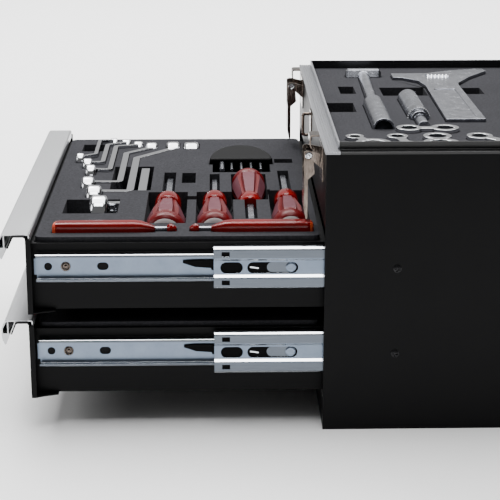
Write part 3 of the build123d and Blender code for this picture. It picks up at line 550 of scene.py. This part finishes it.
# Sizes that a user would change
class ToolboxSizes(bpy.types.PropertyGroup):
    foam_edge: bpy.props.FloatProperty(
        name="Foam edge", description="Rounding of the foam's edges", default=1.0 * MM, unit="LENGTH")
    tool_edge: bpy.props.FloatProperty(
        name="Tool edge", description="Rounding of the forged tools' edges", default=0.8 * MM, unit="LENGTH")
    sheet_edge: bpy.props.FloatProperty(
        name="Sheet edge", description="Rounding of cut sheet and strip edges", default=0.3 * MM, unit="LENGTH")
    screw_turn: bpy.props.FloatProperty(
        name="Screw turn", description="How far screws may stand turned, in degrees", default=90.0)
    grip_ribs: bpy.props.IntProperty(
        name="Grip ribs", description="Ribs on the carrying handle's sleeve", default=12)
    knurls: bpy.props.IntProperty(
        name="Knurls", description="Ridges round a knurled collar", default=30)
    handle_facets: bpy.props.IntProperty(
        name="Handle facets", description="Flats round a screwdriver handle", default=6)
    floor_tone: bpy.props.FloatVectorProperty(
        name="Floor", description="Colour of the floor", default=paint("#ffffff")[:3], subtype="COLOR")


def sizes():
    """The user's sizes."""
    return bpy.context.scene.toolbox_sizes


def rounded(node, finish_name, body, slot, width, angle=30, others=(), pick=None):
    """A copy of a node with its sharp edges rounded, which takes the node's place.

    pick(face) may choose one of the other finishes for a face: 1 is the first of them."""
    shape = node_shape(node)
    smooth(shape, angle)
    if pick:
        shape.normal_update()
        for face in shape.faces:
            face.material_index = pick(face)
    piece = new_piece(node + "_finished", shape, [finish_name, *others], body, slot, node)
    bevel = piece.modifiers.new("edges", "BEVEL")
    bevel.width = width
    bevel.segments = 3
    bevel.limit_method = "ANGLE"
    bevel.angle_limit = math.radians(angle)
    bevel.harden_normals = True
    bevel.use_clamp_overlap = True
    return piece


def cross_screw(radius, rise, shank):
    """A pan-head screw with a cross recess, in millimetres; its axis is X and its seat is at X = 0."""
    shape = bmesh.new()
    sides = 48
    arm = 0.17 * radius
    recess = 0.75 * rise
    rings = []
    for share in (0.0, 0.12, 0.24, 0.36, 0.48, 0.6, 0.72, 0.84, 0.94, 1.0):
        ring = []
        for number in range(sides):
            angle = math.tau * number / sides
            y = share * radius * math.cos(angle)
            z = share * radius * math.sin(angle)
            height = rise * math.sqrt(max(0.0, 1.0 - 0.8 * share ** 2))
            if share < 0.62 and min(abs(y), abs(z)) < arm:
                height -= recess
            ring.append((height, y, z))
        rings.append(ring)
    rings.append([(0.0, y, z) for _, y, z in rings[-1]])
    rings.append([(0.0, 0.55 * y, 0.55 * z) for _, y, z in rings[-1]])
    rings.append([(-shank, y, z) for _, y, z in rings[-1]])
    made = [[shape.verts.new(Vector(corner) * MM) for corner in ring] for ring in rings]
    for a, b in zip(made, made[1:]):
        for number in range(sides):
            after = (number + 1) % sides
            shape.faces.new((a[number], b[number], b[after], a[after]))
    shape.faces.new(reversed(made[-1]))
    bmesh.ops.remove_doubles(shape, verts=shape.verts, dist=0.001 * MM)
    bmesh.ops.recalc_face_normals(shape, faces=shape.faces)
    smooth(shape, 40)
    return shape


# Facings, in degrees about each axis
RIGHT = (0, 0, 0)
LEFT = (0, 0, 180)
BACK = (0, 0, 90)
SIDES = ((-1, LEFT), (1, RIGHT))

# Where small parts sit on the model, in millimetres from its origin
SCREW_SEAT = 198.0
RIVET_SEAT = 185.5
PIP_SEAT = 191.2
HINGE_ROW = (136.0, 229.0)
LATCH_X = 149.5
LATCH_HALF = 13.8
LATCH_PIVOT = (-147.0, 230.8)
SOCKET_NECK = (60.0, 240.0)

# Roundings, in millimetres or as multiples of the user's sizes
STRIP_EDGE = 1.8
HEAD_EDGE = 1.5
KEY_EDGE = 0.3
HOLDER_EDGE = 3.2


def on_flanks(node, seat):
    """Places on both flanks at a distance from the middle, one for each solid of a node."""
    return [((math.copysign(seat, middle.x), middle.y, middle.z), RIGHT if middle.x > 0 else LEFT)
            for middle in centres(node)]


class TOOLBOX_OT_cabinet(bpy.types.Operator):
    """Coat the cabinet, its drawers and its lid, and set its screws"""
    bl_idname = "toolbox.cabinet"
    bl_label = "Cabinet, drawers and lid"

    def execute(self, context):
        coat("black_steel", "side_panel_left", "side_panel_right", "back_panel", "base_pan", "tray_floor",
             "front_panel", "lid_shell")
        edge = sizes().sheet_edge
        rounded("tray_rim", "rim", "cabinet", "black_steel", edge)
        # The rail takes the aluminium darkened as painted shade
        rounded("front_rim_rail", "aluminium_painted_shade", "cabinet", "aluminium", edge)
        for drawer in ("upper", "lower"):
            coat("black_steel", f"drawer_box_{drawer}")
            body = f"drawer_{drawer}"
            rounded(f"drawer_front_{drawer}", "black_steel", body, "black_steel", edge)
            rounded(f"drawer_pull_{drawer}", "aluminium", body, "aluminium", edge)
        screw = cross_screw(radius=3.4, rise=1.5, shank=2.8)
        repeated("side_screws", screw, on_flanks("cabinet_screws", SCREW_SEAT), "black_screw", "cabinet",
                 "black_steel", "cabinet_screws", wobble=sizes().screw_turn, seed=3)
        return {"FINISHED"}


class TOOLBOX_OT_slides(bpy.types.Operator):
    """Plate the telescopic slides and the hinge, and set their rivets"""
    bl_idname = "toolbox.slides"
    bl_label = "Slides and hinge"

    def execute(self, context):
        edge = STRIP_EDGE * sizes().sheet_edge
        coat("zinc", "hinge_leaf_cabinet", "hinge_leaf_lid", "hinge_pin")
        for drawer in ("upper", "lower"):
            coat("zinc", f"slide_outer_{drawer}", f"ball_cages_{drawer}")
            coat("black_plastic", f"release_levers_{drawer}")
            for side in ("left", "right"):
                self.rolled(f"slide_middle_{drawer}_{side}", f"slide_middles_{drawer}", edge)
                self.rolled(f"slide_inner_{drawer}_{side}", f"drawer_{drawer}", edge)
            self.rivets(drawer)
            self.stops(drawer)
        knob = turned((-0.6, 1.2), (0.0, 2.2), (0.5, 1.9), (0.9, 1.1), (1.0, 0.3))
        row = [((x, *HINGE_ROW), BACK) for x in range(-150, 151, 50)]
        repeated("hinge_rivets", knob, row, "zinc", "cabinet", "zinc")
        return {"FINISHED"}

    def rolled(self, node, body, edge):
        """A slide member: faces turned up or down take a paler zinc as painted highlight, and the flanks of the
        tracks a darker zinc as painted shade.
        """
        web, highlit, shaded = range(3)
        web_half = 9 * MM
        low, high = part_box(node)
        middle = (low[2] + high[2]) / 2

        # Paler zinc on faces turned up or down paints highlights; darker zinc on the flanks paints shade
        def pick(face):
            if abs(face.normal.z) > 0.5:
                return highlit
            return shaded if abs(face.calc_center_median().z - middle) > web_half else web

        rounded(node, "zinc", body, "zinc", edge, others=("zinc_highlit", "zinc_shaded"), pick=pick)

    def rivets(self, drawer):
        """Hollow rivets that hold the inner members to the drawer: a flared rim round a bright pip."""
        ring = turned((-3.0, 2.7), (-2.2, 2.7), (-2.2, 1.8), (0.0, 1.8), (0.0, 3.9), (0.5, 4.1), (1.0, 3.7),
                      (1.1, 3.3), (0.8, 2.9), (-0.6, 2.3), (-0.6, 1.5), (0.5, 1.2), (0.8, 0.5), sides=32)
        node = f"drawer_rivets_{drawer}"
        repeated(f"slide_rivets_{drawer}", ring, on_flanks(node, RIVET_SEAT), "nickel", f"drawer_{drawer}",
                 "zinc", node)

    def stops(self, drawer):
        """The black stop strip behind the intermediate members' slots, with its plate, pip and spring end. The
        black strip and the two small black patches by the holes also paint the shade inside the slots and holes;
        the plate takes the darker zinc of painted shade, the spring end the paler zinc of painted highlight.
        """
        low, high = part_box(f"slide_middle_{drawer}_right")
        z = (low[2] + high[2]) / 2
        start = low[1]
        black, plated, bright = range(3)

        def outline(*corners):
            return [(start + y * MM, z + rise * MM) for y, rise in corners]

        # Black strips behind the slots and holes: the slide's stop, and painted shade inside them
        # Corners, the distances from the middle between which they stand in millimetres, and the finish
        strips = [
            (obround(start + 1 * MM, start + 74 * MM, z, 5.8 * MM), 190.3, 190.7, black),
            (obround(start + 44 * MM, start + 66 * MM, z, 4.4 * MM), 190.5, 191.0, plated),
            *[(outline((5, hole - 3), (15, hole - 3), (15, hole + 3), (5, hole + 3)), 192.9, 193.3, black)
              for hole in (-12.3, 12.3)],
            (outline((30, -0.4), (37, -1.4), (37.4, -0.4), (30.2, 0.8)), 190.6, 191.1, bright),
        ]
        shape = bmesh.new()
        for side, _ in SIDES:
            for corners, near, far, slot in strips:
                plate(shape, corners, *sorted((side * near * MM, side * far * MM)), slot)
        smooth(shape, 30)
        body = f"slide_middles_{drawer}"
        new_piece(f"slide_stops_{drawer}", shape, ["black_plastic", "zinc_shaded", "zinc_highlit"], body,
                  "black_plastic")
        pip = turned((-0.4, 4.4), (0.3, 4.4), (0.7, 4.0), (0.9, 3.2), (0.7, 1.4), (0.7, 0.4), sides=32)
        places = [((side * PIP_SEAT, start / MM + 64.0, z / MM), facing) for side, facing in SIDES]
        repeated(f"slide_pips_{drawer}", pip, places, "zinc", body, "zinc")


class TOOLBOX_OT_latches(bpy.types.Operator):
    """Plate the latches, the hasp and the carrying handle"""
    bl_idname = "toolbox.latches"
    bl_label = "Latches and handle"

    def execute(self, context):
        edge = sizes().sheet_edge
        rounded("hasp_staple", "nickel", "cabinet", "nickel", edge)
        for node in ("latch_catches", "handle_brackets"):
            rounded(node, "nickel", "lid", "nickel", edge)
        for side in ("left", "right"):
            rounded(f"latch_base_{side}", "nickel", "cabinet", "nickel", edge)
            rounded(f"latch_lever_{side}", "nickel", f"latch_{side}", "nickel", edge)
            rounded(f"latch_hook_{side}", "nickel", f"hook_{side}", "nickel", edge)
        head = turned((-0.3, 3.0), (0.0, 3.1), (0.6, 3.0), (0.9, 2.5), (0.6, 2.0), (0.2, 1.8), (0.2, 1.4),
                      (0.7, 1.1), (0.9, 0.4), sides=32)
        places = [((x + side * LATCH_HALF, *LATCH_PIVOT), facing)
                  for x in (-LATCH_X, LATCH_X) for side, facing in SIDES]
        repeated("latch_rivets", head, places, "bright_steel", "cabinet", "nickel")
        self.grip()
        return {"FINISHED"}

    def grip(self):
        """The bail of the carrying handle in a ribbed vinyl sleeve."""
        near, far = box_of(narrowest("lid_handle"))
        slack = 0.1 * MM
        shape = node_shape("lid_handle")
        smooth(shape, 30)
        for face in shape.faces:
            middle = face.calc_center_median()
            inside = all(near[i] - slack < middle[i] < far[i] + slack for i in range(3))
            face.material_index = 1 if inside else 0
        new_piece("handle_bail", shape, ["nickel", "grip"], "carry_handle", "nickel", "lid_handle")
        axis = (near + far) / 2 / MM
        radius = (far.y - near.y) / 2 / MM
        count = sizes().grip_ribs
        pitch = (far.x - near.x) / MM / count
        rib = turned((-1.4, radius - 0.4), (-1.0, radius + 0.5), (-0.4, radius + 0.9), (0.4, radius + 0.9),
                     (1.0, radius + 0.5), (1.4, radius - 0.4), sides=32)
        row = [((near.x / MM + (n + 0.5) * pitch, axis.y, axis.z), RIGHT) for n in range(count)]
        repeated("grip_ribs", rib, row, "grip", "carry_handle", "black_plastic")


class TOOLBOX_OT_foam(bpy.types.Operator):
    """Cut the three foam inlays with soft edges"""
    bl_idname = "toolbox.foam"
    bl_label = "Foam inlays"

    def execute(self, context):
        for node, body in (("tray_foam", "cabinet"), ("drawer_foam_upper", "drawer_upper"),
                           ("drawer_foam_lower", "drawer_lower")):
            inlay = rounded(node, "foam", body, "foam", sizes().foam_edge)
        return {"FINISHED"}


class TOOLBOX_OT_tools(bpy.types.Operator):
    """Finish the forged tools"""
    bl_idname = "toolbox.tools"
    bl_label = "Forged tools"

    def execute(self, context):
        edge = sizes().tool_edge
        rounded("wrench_set", "bright_steel", "drawer_upper", "tool_steel", HEAD_EDGE * edge)
        for node in ("adjustable_wrench", "socket_wrench", "extension_bar"):
            rounded(node, "tool_steel", "cabinet", "tool_steel", edge)
        rounded("ring_spanners", "bright_steel", "cabinet", "tool_steel", edge)
        rounded("hex_keys", "tool_steel", "drawer_upper", "tool_steel", KEY_EDGE * MM)
        rounded("key_holder", "black_plastic", "drawer_upper", "black_plastic", HOLDER_EDGE * MM)
        coat("tool_steel", "driver_blades_upper", "driver_blades_lower")
        self.worm()
        self.knurl()
        return {"FINISHED"}

    def worm(self):
        """The thread of the worm in the adjustable wrench."""
        low, high = (corner / MM for corner in box_of(narrowest("adjustable_wrench")))
        middle = (low + high) / 2
        radius = (high.z - low.z) / 2
        ridge = turned((-1.1, radius - 0.5), (-0.35, radius + 0.9), (0.35, radius + 0.9), (1.1, radius - 0.5),
                       sides=32)
        turns = 6
        pitch = (high.y - low.y) / turns
        leaning = (0, 0, 76)
        row = [((middle.x, low.y + (n + 0.5) * pitch, middle.z), leaning) for n in range(turns)]
        repeated("worm_thread", ridge, row, "bright_steel", "cabinet", "tool_steel")

    def knurl(self):
        """The knurled ring at the neck of the plug socket."""
        low, high = (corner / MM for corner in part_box("extension_bar"))
        x, z = SOCKET_NECK
        y = (low[1] + high[1]) / 2
        foot, crest, half_ridge, half_ring = 9.2 * MM, 10.0 * MM, 0.55 * MM, 2.4 * MM
        ridge = bmesh.new()
        plate(ridge, [(foot, -half_ridge), (crest, 0.0), (foot, half_ridge)], -half_ring, half_ring)
        count = sizes().knurls
        row = [((x, y, z), (360 * n / count, 0, 0)) for n in range(count)]
        repeated("socket_knurl", ridge, row, "bright_steel", "cabinet", "tool_steel")


# The finishes of the screwdriver handles, and their slots
HANDLE_FINISHES = ("red_plastic", "butt", "red_bar", "frosted_sheen", "lit_end")
RED, DISC, CLEAR, FROSTED_SHEEN, LIT = range(len(HANDLE_FINISHES))

# A solid taller than this limit is a stout handle, and one only longer than it a slim one
HANDLE_LIMIT = 20 * MM
GROOVE_DEPTH = 0.17
LIT_SHARE = 0.045


def driver_frame(points, along):
    """Where a driver's turned piece lies: a frame with X from its thick end, its length and its radius."""
    low, high = box_of(points)
    middle = (low + high) / 2
    radius = (high.z - low.z) / 2
    across = 1 - along
    thick = [p[along] for p in points if math.hypot(p[across] - middle[across], p.z - middle.z) > 0.95 * radius]
    forward = 1 if sum(thick) / len(thick) < middle[along] else -1
    start = middle.copy()
    start[along] = low[along] if forward == 1 else high[along]
    x_axis = Vector((0.0, 0.0, 0.0))
    x_axis[along] = forward
    z_axis = Vector((0.0, 0.0, 1.0))
    place = Matrix((x_axis, z_axis.cross(x_axis), z_axis)).transposed().to_4x4()
    place.translation = start
    return place, high[along] - low[along], radius


def faceted(count, depth):
    """How far a handle reaches at an angle, flats with a groove between each two, and which faces are flats.

    Both depend on the angle alone; the second also asks how far the flats show there."""
    pitch = math.tau / count
    groove = 0.15 * pitch
    flat = pitch / 2 - groove

    def off_groove(angle):
        return abs((angle + pitch / 2) % pitch - pitch / 2)

    def reach(angle):
        off = off_groove(angle)
        if off < groove:
            return 1 - depth * (1 - off / groove)
        return math.cos(flat) / math.cos(pitch / 2 - off)

    # Flats take the frosted finish, whose pink-grey colour is a painted sheen
    def mark(x, share, angle):
        return FROSTED_SHEEN if share > 0.8 and off_groove(angle) > groove else RED

    return reach, mark


def squared(angle):
    """How far a square bar with round corners reaches at an angle."""
    return (abs(math.cos(angle)) ** 5 + abs(math.sin(angle)) ** 5) ** -0.2


# Shares of length and of radius, and how far the facets show there
STOUT_HANDLE = (
    (0.008, 0.79, 0), (0.012, 0.83, 0), (0.03, 0.925, 0), (0.055, 0.97, 0), (0.09, 1, 0), (0.13, 0.99, 0),
    (0.15, 0.95, 0), (0.165, 0.93, 0.3), (0.19, 0.99, 0.9), (0.22, 1, 1), (0.36, 0.99, 1), (0.42, 0.93, 1),
    (0.6, 0.79, 1), (0.74, 0.68, 0.9), (0.78, 0.62, 0.6), (0.97, 0.58, 0))
BUTT_DISC = ((0.0, 0.6, 0), (0.002, 0.7, 0), (0.006, 0.76, 0), (0.03, 0.78, 0), (0.06, 0.78, 0))
COLLAR = ((0.79, 0.6, 0), (0.8, 0.67, 0), (0.815, 0.69, 0), (0.96, 0.69, 0), (0.985, 0.66, 0), (1.0, 0.58, 0))
SLIM_HANDLE = (
    (0.0, 0.5, 1), (0.01, 0.75, 1), (0.035, 0.94, 1), (0.07, 1, 1), (0.8, 1, 1), (0.87, 0.9, 1),
    (0.94, 0.62, 0.8), (1.0, 0.34, 0))
TIP_CAP = ((0.0, 0.62, 0), (0.08, 0.8, 0), (0.3, 1, 0), (0.5, 0.95, 0), (0.8, 0.62, 0), (1.0, 0.36, 0))


class TOOLBOX_OT_drivers(bpy.types.Operator):
    """Mould the screwdriver handles"""
    bl_idname = "toolbox.drivers"
    bl_label = "Screwdriver handles"

    def execute(self, context):
        flats, frosted_sheen_mark = faceted(sizes().handle_facets, GROOVE_DEPTH)
        for drawer in ("upper", "lower"):
            node = f"driver_handles_{drawer}"
            shape = bmesh.new()
            for points in solids_of(node):
                self.mould(shape, points, flats, frosted_sheen_mark)
            smooth(shape, 24)
            new_piece(f"handles_{drawer}", shape, HANDLE_FINISHES, f"drawer_{drawer}", "red_plastic", node)
        return {"FINISHED"}

    def mould(self, shape, points, flats, frosted_sheen_mark):
        """One solid of a driver: a stout handle with its disc and collar, a slim handle, or a cap at a tip."""
        low, high = box_of(points)
        stout = high.z - low.z > HANDLE_LIMIT
        place, length, radius = driver_frame(points, 0 if stout else 1)

        def part(profile, sides, reach=None, slot=RED, mark=None):
            scaled = [(x * length, r * radius, share) for x, r, share in profile]
            lathe(shape, scaled, place, sides, reach, slot, mark)

        if stout:
            part(STOUT_HANDLE, 72, flats, mark=frosted_sheen_mark)
            part(BUTT_DISC, 48, slot=DISC)
            part(COLLAR, 48, slot=CLEAR)
        elif length > HANDLE_LIMIT:
            lit = LIT_SHARE * length
            part(SLIM_HANDLE, 48, squared, LIT, lambda x, share, angle: LIT if x < lit else CLEAR)
        else:
            part(TIP_CAP, 32, slot=CLEAR)


# Stage
CAMERA_PLACE = Vector((1.3911, -0.2230, 0.5274))
CAMERA_LOOK = Vector((-0.9555, 0.0212, -0.2942))
CAMERA_LENS = 109.8
WORLD_STRENGTH = 0.16

# Name, place, target, size and power of each light: a wide one overhead on the far side, which the tops and
# pulls mirror, a small one there for edges, a pale wall beyond, one from the front, and one over the near side
LIGHTS = (
    ("top_light", (-1.9, -0.1, 3.0), (-1.9, -0.1, 0.0), 4.4, 440.0),
    ("rear_light", (-1.6, -0.9, 2.4), (0.0, -0.2, 0.2), 0.8, 22.0),
    ("backdrop", (-3.2, -0.2, 1.2), (0.0, -0.2, 0.3), 4.0, 22.0),
    ("front_light", (0.6, -2.6, 1.5), (0.0, -0.2, 0.2), 1.2, 20.0),
    ("brow_light", (1.0, -0.2, 3.0), (0.2, -0.2, 0.1), 1.2, 40.0),
)


def soft_light(name, place, target, size, power):
    """A square area light that faces a point."""
    data = bpy.data.lights.new(name, "AREA")
    data.shape = "SQUARE"
    data.size = size
    data.energy = power
    lamp = bpy.data.objects.new(name, data)
    lamp.location = place
    lamp.rotation_euler = (Vector(target) - Vector(place)).to_track_quat("-Z", "Y").to_euler()
    bpy.context.scene.collection.objects.link(lamp)


class TOOLBOX_OT_stage(bpy.types.Operator):
    """Set the floor, the lights and the camera"""
    bl_idname = "toolbox.stage"
    bl_label = "Floor, lights and camera"

    def execute(self, context):
        scene = context.scene
        bpy.ops.mesh.primitive_plane_add(size=30.0)
        floor = context.object
        floor.name = "floor"
        material, _, shader = surface("pale_floor", Roughness=0.8)
        shader.inputs["Base Color"].default_value = [*sizes().floor_tone, 1.0]
        floor.data.materials.append(material)

        world = bpy.data.worlds.new("white_room")
        world.use_nodes = True
        background = world.node_tree.nodes["Background"]
        background.inputs["Color"].default_value = (1.0, 1.0, 1.0, 1.0)
        background.inputs["Strength"].default_value = WORLD_STRENGTH
        scene.world = world
        for light in LIGHTS:
            soft_light(*light)

        data = bpy.data.cameras.new("camera")
        data.lens = CAMERA_LENS
        camera = bpy.data.objects.new("camera", data)
        camera.location = CAMERA_PLACE
        camera.rotation_euler = CAMERA_LOOK.to_track_quat("-Z", "Y").to_euler()
        scene.collection.objects.link(camera)
        scene.camera = camera
        return {"FINISHED"}


OPERATORS = (
    TOOLBOX_OT_stage,
    TOOLBOX_OT_cabinet,
    TOOLBOX_OT_slides,
    TOOLBOX_OT_latches,
    TOOLBOX_OT_foam,
    TOOLBOX_OT_tools,
    TOOLBOX_OT_drivers,
)


class TOOLBOX_PT_panel(bpy.types.Panel):
    """The toolbox's pieces in the sidebar"""
    bl_idname = "TOOLBOX_PT_panel"
    bl_label = "Toolbox"
    bl_space_type = "VIEW_3D"
    bl_region_type = "UI"
    bl_category = "Toolbox"

    def draw(self, context):
        for name in ToolboxSizes.__annotations__:
            self.layout.prop(context.scene.toolbox_sizes, name)
        for operator in OPERATORS:
            self.layout.operator(operator.bl_idname)


CLASSES = (ToolboxSizes, *OPERATORS, TOOLBOX_PT_panel)


def register():
    for each in CLASSES:
        bpy.utils.register_class(each)
    bpy.types.Scene.toolbox_sizes = bpy.props.PointerProperty(type=ToolboxSizes)


def unregister():
    del bpy.types.Scene.toolbox_sizes
    for each in reversed(CLASSES):
        bpy.utils.unregister_class(each)


def main():
    """Make every piece."""
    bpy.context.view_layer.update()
    register()
    for operator in OPERATORS:
        group, name = operator.bl_idname.split(".")
        getattr(getattr(bpy.ops, group), name)()


if __name__ == "__main__":
    main()
